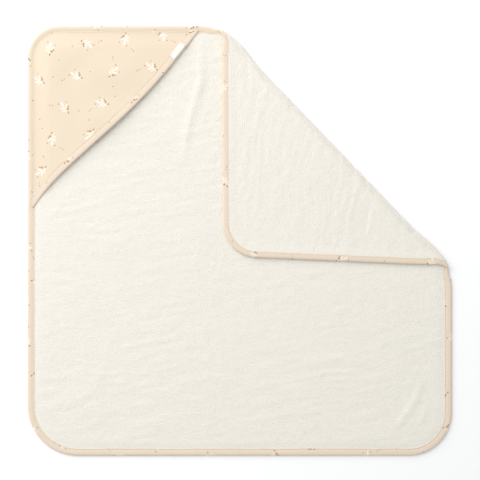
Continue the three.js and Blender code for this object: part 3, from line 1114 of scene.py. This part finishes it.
@dataclass
class EdgeTape:
    """The bias tape round the towel's edge, with its stitching.

    The front swells between the outer edge and the stitches. Along the hood the tape takes in
    the hood's layers as well, and stands higher.
    """

    outline: Outline
    fold: Fold
    hood_ends: tuple[float, float]
    front: float = 2.45 * MM
    back: float = 1.75 * MM
    hood_height: float = 2.0 * MM
    hood_soft: float = 14 * MM
    uneven: float = 0.16 * MM
    uneven_size: float = 17 * MM
    sway: float = 0.025
    sway_size: float = 40 * MM
    step: float = 2.1 * MM
    overlap: float = 26 * MM
    tape: BiasTape = BiasTape(back=(0.5, 2.6, 6.5, 10.2, 12.0), nose=3.2 * MM, groove=0.50 * MM,
                              pucker=0.17 * MM, pucker_pitch=7.3 * MM, drift_size=31 * MM,
                              pucker_at=7.5 * MM, pucker_width=3.2 * MM, seed=SEED + 3,
                              cut_from=0.1, back_share=0.9)
    stitching: Stitching = Stitching()

    def swell(self, w: np.ndarray) -> np.ndarray:
        """Share of full height at a distance in from the outer edge, less towards the stitches."""
        return self.tape.rounded(w) * (1 - 0.16 * smooth(4 * MM, self.tape.stitch_inset, w))

    def over_hood(self, points: np.ndarray) -> np.ndarray:
        """How much of the hood's thickness the tape takes in: a soft step at each of its ends.

        Args:
            points: points of the outline.

        Returns:
            A share at each point.
        """
        end_x, end_y = self.hood_ends
        along_top = smooth(end_x + self.hood_soft, end_x - self.hood_soft, points[:, 0])
        return along_top * smooth(end_y - self.hood_soft, end_y + self.hood_soft, points[:, 1])

    def front_lift(self, w: np.ndarray, walked: np.ndarray, hood: np.ndarray) -> np.ndarray:
        """Height of the tape's front over the cloth's middle.

        Args:
            w: distance in from the outer edge, one for each section point.
            walked: distance along the edge, one for each section.
            hood: share of the hood's thickness taken in, one for each section.

        Returns:
            Lifts by section and section point.
        """
        w, walked, hood = w[None, :], walked[:, None], hood[:, None]
        puckers, groove = self.tape.sewn(w, walked)
        uneven = self.uneven * soft_noise(walked + 7 * w, w * 9, self.uneven_size, SEED + 4)
        height = (self.front + self.hood_height * hood) * self.swell(w)
        return height + (puckers + uneven) * np.clip(w / (2 * MM), 0, 1) - groove

    def build(self) -> tuple[list[bpy.types.Object], list[bpy.types.Object]]:
        """Builds the tape and its stitches on both sides of the fold.

        Returns:
            The tape's two pieces, and the stitching's two pieces.
        """
        points, inwards, walked = self.outline.path(self.step)
        beyond = self.fold.beyond(points) > -self.overlap
        first = int(np.flatnonzero(beyond & ~np.roll(beyond, 1))[0])
        order = (first + np.arange(len(points))) % len(points)
        turned = int(beyond.sum())
        runs = {"": np.append(order[turned - 1:], order[0]), "_folded": order[:turned]}
        tapes = [self.wrap("edge_tape" + end, points[run], inwards[run], walked[run])
                 for end, run in runs.items()]
        return tapes, [self.seam("edge_stitches" + end, bool(end)) for end in runs]

    def wrap(self, name: str, points: np.ndarray, inwards: np.ndarray,
             walked: np.ndarray) -> bpy.types.Object:
        """Carries the section along one run of the outline.

        Args:
            name: the piece's name.
            points: points of the outline.
            inwards: unit vectors pointing in from them.
            walked: distance along the outline at each.

        Returns:
            The piece.
        """
        front_w, back_w = self.tape.section()
        front = self.front_lift(front_w, walked, self.over_hood(points))
        back = np.tile(-self.back * self.swell(back_w), (len(points), 1))
        w = np.concatenate([front_w, back_w])[None, :]
        along = walked[:, None]
        sway = 1 + self.sway * soft_noise(along, np.zeros_like(along), self.sway_size, SEED + 5)
        flat = points[:, None, :] + inwards[:, None, :] * (w * sway)[..., None]
        placed = self.fold.place(flat, np.hstack([front, back]))
        return self.tape.strip(name, placed, walked, len(points) * self.step)

    def seam(self, name: str, folded: bool) -> bpy.types.Object:
        """Sews one run: on the front everywhere, and on the back as well where it shows.

        Args:
            name: the piece's name.
            folded: whether it is the run that folds over.

        Returns:
            The stitches.
        """
        points, inwards, walked = self.outline.path(self.stitching.pitch)
        chosen = (self.fold.beyond(points) > -self.overlap) == folded
        points, inwards, walked = points[chosen], inwards[chosen], walked[chosen]
        tangent = np.stack([inwards[:, 1], -inwards[:, 0]], axis=1) * MM
        inset = np.array([self.tape.stitch_inset])
        proud = self.tape.thread_rise * self.tape.thickness
        lift = self.front_lift(inset, walked, self.over_hood(points))[:, 0] + proud
        sides = [(inset[0], lift, 1)]
        if folded:
            under = np.full(len(points), -self.back * self.swell(inset)[0] - proud)
            sides.append((inset[0] * self.tape.back_share, under, -1))
        rows = []
        for inset_here, lift, facing in sides:
            flat = points + inwards * inset_here
            ahead = unit(self.fold.place(flat + tangent, lift) - self.fold.place(flat - tangent, lift))
            rows.append((self.fold.place(flat, lift), ahead, self.fold.front(flat) * facing))
        return self.stitching.build(name, rows)


# ---------------------------------------------------------------- the hood


class Half(Enum):
    """The hood's two halves either side of its middle line, by the edge each is sewn to."""

    TOP = "top"
    SIDE = "side"


@dataclass(frozen=True)
class Layer:
    """One layer of the hood: its height and thickness, its pile, and how it ends at the seams."""

    name: str
    rise: float
    thickness: float
    pile: float = 0.0
    short: float = 0.0
    sink: float = 0.0


PANEL = Layer("hood_panel", 2.45 * MM, 0.55 * MM)
LINING = Layer("hood_lining", 1.1 * MM, 2.0 * MM, pile=0.2 * MM, short=9 * MM, sink=1.5 * MM)


@dataclass
class Hood:
    """The hood: a panel and a lining between the towel's rounded corner and a taped free edge.

    A point is found by its share s along the free edge and its distance w in from that edge, on
    straight rulings that run from the free edge to the rounded corner. The two halves meet on
    the ruling that lies at equal distances from the two sewn edges.
    """

    outline: Outline
    top_end: np.ndarray
    side_end: np.ndarray
    base: float
    margin: float = 4.2 * MM
    arch: float = 5.5 * MM
    arch_power: float = 1.6
    folds: float = 0.9 * MM
    folds_along: float = 2.6
    folds_inward: float = 0.8
    slack: float = 1.8 * MM
    puff_size: float = 42 * MM
    pressed_to: float = 7 * MM
    free_from: float = 40 * MM
    pressed_share: float = 0.45
    pressed_drop: float = 0.3 * MM
    first_inset: float = 1.6 * MM
    longest_ruling: float = 0.235
    grain: float = 2.4 * MM
    tape_step: float = 2.6 * MM
    tape_back: float = -0.35 * MM
    tape_front: float = 4.1 * MM
    lifted: str = "hood"
    still: str = "towel"
    tape: BiasTape = BiasTape(back=(0.5, 1.6, 4.0, 8.0, 12.0), nose=2.8 * MM, groove=0.45 * MM,
                              pucker=0.16 * MM, pucker_pitch=7.9 * MM, drift_size=33 * MM,
                              pucker_at=7 * MM, pucker_width=3 * MM, seed=SEED + 7, cut_from=0.3)
    stitching: Stitching = Stitching()
    corner: np.ndarray = field(init=False)
    chord: np.ndarray = field(init=False)
    length: float = field(init=False)
    outward: np.ndarray = field(init=False)
    bow: np.ndarray = field(init=False)
    middle: float = field(init=False)
    reach: float = field(init=False)

    BOW_SHARES = (0.0, 0.25, 0.55, 0.9, 1.0)
    BOWS = (0.0, 8.0, 4.5, -4.5, 0.0)

    def __post_init__(self) -> None:
        """Fits the free edge's bow and finds the share where the halves meet."""
        self.chord = self.side_end - self.top_end
        self.length = float(np.linalg.norm(self.chord))
        self.outward = np.array([-self.chord[1], self.chord[0]]) / self.length
        self.bow = np.polyfit(self.BOW_SHARES, np.array(self.BOWS) * MM, len(self.BOWS) - 1)
        self.corner = np.array([self.outline.low[0], self.outline.high[1]])
        shares = np.linspace(0, 1, 2001)
        edge = self.edge(shares)
        uneven = (edge[:, 0] - self.corner[0]) - (self.corner[1] - edge[:, 1])
        self.middle = float(np.interp(0, -uneven, shares))
        self.reach = float(self.edge(np.array([self.middle]))[0, 0] - self.corner[0])

    def edge(self, s: np.ndarray) -> np.ndarray:
        """Points of the free edge: its chord, bowed outwards by a fourth-degree curve."""
        return self.top_end + s[:, None] * self.chord + np.polyval(self.bow, s)[:, None] * self.outward

    def rulings(self, s: np.ndarray) -> tuple[np.ndarray, np.ndarray, np.ndarray, np.ndarray]:
        """Where each ruling starts, its direction, its slant to the edge, and its depth.

        Args:
            s: shares along the free edge.

        Returns:
            Start points, unit directions, slants and depths.
        """
        start = self.edge(s)
        angle = math.pi / 2 * (1 + np.interp(s, [0, self.middle, 1], [0, 0.5, 1]))
        inward = self.outline.hood_corner
        centre = self.corner + np.array([inward, -inward])
        end = centre + (inward - self.margin) * np.stack([np.cos(angle), np.sin(angle)], axis=1)
        way = unit(end - start)
        slant = np.abs(way @ self.outward)
        return start, way, slant, np.linalg.norm(end - start, axis=1) * slant

    def place(self, s: np.ndarray, w: np.ndarray, rise: np.ndarray, sink: float = 0.0) -> np.ndarray:
        """Positions on the hood.

        The middle of the free edge arches up and two shallow folds run towards the corner. Close
        to the sewn edges everything is pressed down into the towel's edge tape.

        Args:
            s: shares along the free edge, one for each row.
            w: distances in from the free edge, by row and column.
            rise: heights above the hood's underside, by row and column.
            sink: how much lower than pressed the cloth is by the sewn edges.

        Returns:
            Positions by row and column.
        """
        start, way, slant, depth = self.rulings(s)
        flat = start[:, None, :] + way[:, None, :] * (w / slant[:, None])[..., None]
        out = np.clip(1 - w / depth[:, None], 0, 1)
        across = np.sin(math.pi * s)[:, None]
        arch = self.arch * across * out**self.arch_power
        beat = np.sin(math.tau * (self.folds_along * s[:, None] + self.folds_inward * out))
        folds = self.folds * beat * across * out * (1.25 - out)
        puffed = 1 + soft_noise(flat[..., 0], flat[..., 1], self.puff_size, SEED + 6)
        slack = self.slack * puffed * across * (1 - 0.6 * out**3)
        inset = -self.outline.distance(flat[..., 0], flat[..., 1])
        free = smooth(self.pressed_to, self.free_from, inset)
        pressed = self.pressed_share + (1 - self.pressed_share) * free
        ground = self.base - (self.pressed_drop + sink) * (1 - free)
        height = ground + rise * pressed + (arch + folds + slack) * free
        return np.concatenate([flat, height[..., None]], axis=-1)

    def shares(self, half: Half, spacing: float) -> np.ndarray:
        """Shares along the free edge for one half, about spacing apart."""
        ends = (0.0, self.middle) if half is Half.TOP else (self.middle, 1.0)
        return np.linspace(*ends, int(round((ends[1] - ends[0]) * self.length / spacing)) + 1)

    def layer(self, layer: Layer, half: Half) -> bpy.types.Object:
        """Builds one half of one layer.

        Args:
            layer: the layer.
            half: which half.

        Returns:
            The piece.
        """
        s = self.shares(half, self.grain)
        depth = self.rulings(s)[3][:, None] - layer.short
        t = np.linspace(0, 1, int(self.longest_ruling / self.grain))[None, :]
        w = self.first_inset + (depth - self.first_inset) * t
        pile = layer.pile * np.random.default_rng(SEED + 9).uniform(0, 1, w.shape)
        pile[0 if half is Half.SIDE else -1] = 0
        placed = self.place(s, w, layer.rise + pile, layer.sink)
        flat = placed[..., :2] - self.outline.low
        piece = make_piece(f"{layer.name}_{half.value}_half", placed,
                           grid_faces(*w.shape)[:, ::-1].tolist(), flat, layer.thickness)
        down, right = flat[1:, :-1] - flat[:-1, :-1], flat[:-1, 1:] - flat[:-1, :-1]
        area = np.abs(down[..., 0] * right[..., 1] - down[..., 1] * right[..., 0])
        piece["cut_area"] = float(area.sum())
        return piece

    def tape_lift(self, s: np.ndarray, w: np.ndarray) -> np.ndarray:
        """Height of the tape's front above the hood's underside, with its stitched groove.

        Args:
            s: shares along the free edge, one for each row.
            w: distances in from it, by row and column.

        Returns:
            Heights by row and column.
        """
        middle = (self.tape_front + self.tape_back) / 2
        puckers, groove = self.tape.sewn(w, s[:, None] * self.length)
        swell = self.tape.rounded(w) * (1 - 0.1 * w / self.tape.width)
        return middle + (self.tape_front - middle) * swell - groove + puckers

    def bind(self, half: Half) -> bpy.types.Object:
        """Builds one half of the free edge's tape, a U from the front's inner edge to the back's.

        Args:
            half: which half.

        Returns:
            The piece.
        """
        s = self.shares(half, self.tape_step)
        front_w, back_w = self.tape.section()
        middle = (self.tape_front + self.tape_back) / 2
        back = middle + (self.tape_back - middle) * self.tape.rounded(back_w)
        rise = np.hstack([self.tape_lift(s, front_w[None, :]), np.tile(back, (len(s), 1))])
        w = np.tile(np.concatenate([front_w, back_w]), (len(s), 1))
        return self.tape.strip(f"hood_edge_tape_{half.value}_half", self.place(s, w, rise),
                               s * self.length, self.length * (s[-1] - s[0]))

    def square_shares(self, s: np.ndarray, w: np.ndarray) -> np.ndarray:
        """Shares whose rulings pass the places square in from the free edge at s by w.

        Args:
            s: shares along the free edge.
            w: distances in from it, of a shape that broadcasts with s.

        Returns:
            The corrected shares, for each s and w.
        """
        way, slant = self.rulings(np.ravel(s))[1:3]
        lean = (way @ (self.chord / self.length) / slant).reshape(np.shape(s))
        return s - w * lean / self.length

    def frame_at(self, s: np.ndarray, w: np.ndarray,
                 rise: np.ndarray) -> tuple[np.ndarray, np.ndarray, np.ndarray]:
        """Centres, directions along the edge, and outward normals at some places on the hood.

        Args:
            s: shares along the free edge.
            w: distance in from it at each.
            rise: height above the hood's underside at each.

        Returns:
            The centres, directions and normals.
        """
        step = 0.4 * MM / self.length
        moves = ((0, 0), (step, 0), (-step, 0), (0, 0.3 * MM))
        centre, after, before, inner = (
            self.place(s + along, w[:, None] + inward, rise[:, None])[:, 0] for along, inward in moves)
        ahead = unit(after - before)
        up = np.cross(inner - centre, ahead)
        return centre, ahead, unit(up * np.sign(up[:, 2:3]))

    def stitches(self, half: Half) -> bpy.types.Object:
        """Sews one half of the free edge's tape.

        Args:
            half: which half.

        Returns:
            The stitches.
        """
        count = int(self.length / self.stitching.pitch)
        s = (np.arange(count) + 0.5) / count
        s = s[(s < self.middle) == (half is Half.TOP)]
        w = np.full(len(s), self.tape.stitch_inset)
        rise = self.tape_lift(s, w[:, None])[:, 0] + self.tape.thread_rise * self.tape.thickness
        return self.stitching.build(f"hood_edge_stitches_{half.value}_half", [self.frame_at(s, w, rise)])

    def follow(self, piece: bpy.types.Object) -> None:
        """Bakes a piece's placement into its mesh.

        Args:
            piece: the piece.
        """
        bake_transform(piece)


@dataclass
class WovenLabel:
    """A blank woven label, flat on the hood's edge tape and sewn across both its ends."""

    hood: Hood
    from_top: float = 37 * MM
    length: float = 31 * MM
    width: float = 10 * MM
    inset: float = 2.2 * MM
    thickness: float = 0.45 * MM
    hem: float = 1.5 * MM
    clearance: float = 0.95 * MM
    curl: float = 5 * MM
    sag: float = 0.35 * MM
    stitching: Stitching = Stitching(pitch=1.7 * MM, length=1.4 * MM, radius=0.2 * MM)

    def rise(self, along: np.ndarray, across: np.ndarray) -> np.ndarray:
        """Height over the hood's underside: on the tape, with its corners a little curled.

        Args:
            along: place along the label, from -1 to 1.
            across: place across it, from -1 to 1.

        Returns:
            Height at each place.
        """
        corner = np.clip(np.abs(along) - 0.75, 0, 1) * np.clip(np.abs(across) - 0.4, 0, 1) * self.curl
        sag = self.sag * (1 - along**2) * (0.4 + 0.6 * np.clip(across, 0, 1))
        return self.hood.tape_front + self.clearance + corner - sag

    def on_hood(self, along: np.ndarray, across: np.ndarray) -> tuple[np.ndarray, np.ndarray]:
        """Finds places of the label on the hood.

        Args:
            along: places along the label, from -1 to 1.
            across: places across it, from -1 to 1, of a shape that broadcasts with along.

        Returns:
            The shares along the hood's free edge, and the distances in from it.
        """
        s = (self.from_top + (along + 1) / 2 * self.length) / self.hood.length
        w = self.inset + (across + 1) / 2 * self.width
        return self.hood.square_shares(s, w), w

    def build(self) -> bpy.types.Object:
        """Builds the label as a thin strip that follows the hood.

        Returns:
            The label.
        """
        u, v = np.meshgrid(np.linspace(-1, 1, 36), np.linspace(-1, 1, 12), indexing="ij")
        s, w = self.on_hood(u, v)
        placed = self.hood.place(s.ravel(), w.reshape(-1, 1), self.rise(u, v).reshape(-1, 1))
        flat = np.stack([(u + 1) / 2 * self.length, (v + 1) / 2 * self.width], axis=-1)
        return make_piece("woven_label", placed, grid_faces(*u.shape)[:, ::-1].tolist(), flat,
                          self.thickness)

    def stitches(self, name: str, end: int) -> bpy.types.Object:
        """Sews one end of the label with a short row of stitches across it.

        Args:
            name: the piece's name.
            end: -1 for the label's start, 1 for its far end.

        Returns:
            The stitches.
        """
        across = np.arange(-2, 3) * 0.36
        along = np.full(len(across), end * (1 - 2 * self.hem / self.length))
        s, w = self.on_hood(along, across)
        centre, ahead, up = self.hood.frame_at(s, w, self.rise(along, across) + 0.5 * self.thickness)
        return self.stitching.build(name, [(centre, np.cross(up, ahead), up)])


# ---------------------------------------------------------------- the studio


@dataclass
class Studio:
    """A pale floor under soft light from the upper left, seen from straight above."""

    view_width: float = 0.8503
    camera_height: float = 3.0
    sensor: float = 36.0
    aim: tuple[float, float] = (0.0005, 0.0013)
    sky: float = 0.66
    lamp_power: float = 66.0
    lamp_width: float = 3.2
    lamp_place: tuple[float, float, float] = (-1.45, 1.45, 1.7)
    floor_width: float = 12.0
    floor_colour: str = "#FFFFFF"
    sky_colour: str = "#FBFDFF"
    lamp_colour: str = "#FFFDFA"

    def build(self) -> None:
        """Makes the floor, the sky, the lamp and the camera."""
        bpy.context.scene.view_settings.view_transform = "Standard"
        self.build_floor()
        self.build_lights()
        self.build_camera()

    def build_floor(self) -> None:
        """Makes a wide matt floor."""
        corners = np.array([(-1, -1, 0), (1, -1, 0), (1, 1, 0), (-1, 1, 0)]) * self.floor_width / 2
        floor = make_piece("floor", corners, [[0, 1, 2, 3]], corners[:, :2] / self.floor_width + 0.5)
        material = bpy.data.materials.new("matt_paper")
        material.use_nodes = True
        wire(material.node_tree, material.node_tree.nodes["Principled BSDF"],
             {"Base Color": linear(self.floor_colour), "Roughness": 0.9})
        floor.data.materials.append(material)
        floor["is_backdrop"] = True

    def build_lights(self) -> None:
        """Makes an even pale sky and one wide soft lamp."""
        scene = bpy.context.scene
        world = bpy.data.worlds.new("white_room")
        world.use_nodes = True
        wire(world.node_tree, world.node_tree.nodes["Background"],
             {"Color": linear(self.sky_colour), "Strength": self.sky})
        scene.world = world
        lamp = bpy.data.lights.new("window", "AREA")
        lamp.shape = "DISK"
        lamp.size = self.lamp_width
        lamp.energy = self.lamp_power
        lamp.color = linear(self.lamp_colour)[:3]
        window = bpy.data.objects.new("window", lamp)
        window.location = self.lamp_place
        window.rotation_euler = (-window.location.normalized()).to_track_quat("-Z", "Y").to_euler()
        scene.collection.objects.link(window)

    def build_camera(self) -> None:
        """Makes the camera, straight above, with the lens that takes in the view's width."""
        scene = bpy.context.scene
        lens = bpy.data.cameras.new("overhead")
        lens.sensor_width = self.sensor
        lens.lens = self.sensor * self.camera_height / self.view_width
        lens.clip_end = 50
        camera = bpy.data.objects.new("overhead", lens)
        camera.location = (*self.aim, self.camera_height)
        scene.collection.objects.link(camera)
        scene.camera = camera


# ---------------------------------------------------------------- the towel, put together


class Cloth(Enum):
    """The record's material slots, for the new pieces."""

    TERRY = "terry"
    PRINT = "printed_cotton"
    TAPE = "bias_tape"
    LABEL = "woven_label"
    THREAD = "sewing_thread"


@dataclass
class Towel:
    """The whole towel: it builds each sub-assembly, dresses it, and ties the lying sheet and the unfolded
    edge tape and stitches to the towel's body.

    The cut sizes are those of the cloth before it is sewn. Each pair of margins says how far
    inside the middles of the lower and upper layers a piece starts and ends its turn over.
    """

    frame: dict
    sheet_cut: tuple[float, float] = (0.75, 0.76)
    corner_cut: tuple[float, float] = (0.45, 0.46)
    hood_half_cut: tuple[float, float] = (0.30, 0.17)
    sheet_margins: tuple[float, float] = (1.6 * MM, 2.6 * MM)
    edge_margins: tuple[float, float] = (3.1 * MM, 2.7 * MM)
    hood_top_shift: tuple[float, float] = (7 * MM, -8 * MM)
    hood_side_shift: tuple[float, float] = (9 * MM, -6 * MM)
    finishes: dict[Cloth, bpy.types.Material] = field(init=False)

    def __post_init__(self) -> None:
        """Makes one material for each kind of cloth."""
        tape = PrintedCotton("bias_cut_cotton", ground="#E9D8C3", leaf="#FBF4E8", berry="#A8762F",
                             speck="#8A7661", cell=58 * MM, turn=math.pi / 4)
        self.finishes = {Cloth.TERRY: TerryCotton().material(), Cloth.PRINT: PrintedCotton().material(),
                         Cloth.TAPE: tape.material(), Cloth.LABEL: SatinTape().material(),
                         Cloth.THREAD: SpunThread().material()}

    def dress(self, piece: bpy.types.Object, cloth: Cloth, *nodes: str) -> bpy.types.Object:
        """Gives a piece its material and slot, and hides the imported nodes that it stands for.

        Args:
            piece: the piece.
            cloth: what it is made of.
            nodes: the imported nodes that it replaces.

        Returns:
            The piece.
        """
        piece.data.materials.append(self.finishes[cloth])
        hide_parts(*nodes)
        LOG.info("%s: %d faces", piece.name, len(piece.data.polygons))
        return piece

    def turn_over(self, piece: bpy.types.Object) -> None:
        """Bakes a piece's placement into its mesh.

        Args:
            piece: the piece.
        """
        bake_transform(piece)

    def build(self) -> None:
        """Builds every sub-assembly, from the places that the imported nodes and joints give."""
        low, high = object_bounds()
        turn = {joint["name"]: joint for joint in self.frame["joints"]}["corner_unfold"]
        outline = Outline(np.array(low[:2]), np.array(high[:2]))
        middle = (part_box("terry_body")[0].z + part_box("terry_body")[1].z) / 2
        fold = Fold(np.array(turn["pos_m"], float), np.array(turn["axis"], float), middle, outline)
        seam_low, seam_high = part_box("hood_seam_allowance")
        self.build_sheet(outline, fold)
        self.build_edge(EdgeTape(outline, fold, (seam_high.x, seam_low.y)))
        top_end = np.array([seam_high.x, high.y]) + self.hood_top_shift
        side_end = np.array([low.x, seam_low.y]) + self.hood_side_shift
        self.build_hood(Hood(outline, top_end, side_end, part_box("hood_lining")[0].z))

    def build_sheet(self, outline: Outline, fold: Fold) -> None:
        """Builds the terry sheet, with its corner already folded over, and ties the lying part to the
        towel.

        Args:
            outline: the towel's outline.
            fold: its fold.
        """
        lying, turned = TerrySheet(outline, fold).build()
        self.dress(lying, Cloth.TERRY, "terry_body")
        self.dress(turned, Cloth.TERRY, "terry_corner")
        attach(lying, "towel")
        self.turn_over(turned)

    def build_edge(self, edge: EdgeTape) -> None:
        """Builds the edge tape and its stitches on both sides of the fold.

        Args:
            edge: the edge tape.
        """
        tapes, seams = edge.build()
        for tape, seam, suffix in zip(tapes, seams, ("", "_corner")):
            self.dress(tape, Cloth.TAPE, "edge_binding" + suffix)
            self.dress(seam, Cloth.THREAD, "binding_thread" + suffix)
        for piece in (tapes[0], seams[0]):
            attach(piece, "towel")
        for piece in (tapes[1], seams[1]):
            self.turn_over(piece)

    def build_hood(self, hood: Hood) -> None:
        """Builds the hood's layers, tape, stitches and label.

        Args:
            hood: the hood.
        """
        label = WovenLabel(hood)
        badge = self.dress(label.build(), Cloth.LABEL, "hood_label")
        ends = [self.dress(label.stitches("label_stitches_" + side, end), Cloth.THREAD,
                           "label_stitch_" + side) for side, end in (("upper", -1), ("lower", 1))]
        for half in Half:
            panel = self.dress(hood.layer(PANEL, half), Cloth.PRINT, "hood_panel", "hood_seam_allowance")
            lining = self.dress(hood.layer(LINING, half), Cloth.TERRY, "hood_lining")
            tape = self.dress(hood.bind(half), Cloth.TAPE, "hood_edge_binding")
            seam = self.dress(hood.stitches(half), Cloth.THREAD, "hood_edge_thread")
            for piece in (panel, lining, tape, seam):
                hood.follow(piece)
        for piece in (badge, *ends):
            hood.follow(piece)


def main() -> tuple:
    """Builds the towel and the studio.

    Returns:
        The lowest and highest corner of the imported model.
    """
    logging.basicConfig(level=logging.INFO, format="%(name)s %(message)s")
    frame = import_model()
    cad_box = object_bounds()
    Studio().build()
    Towel(frame).build()
    return cad_box


if __name__ == "__main__":
    packed = main()
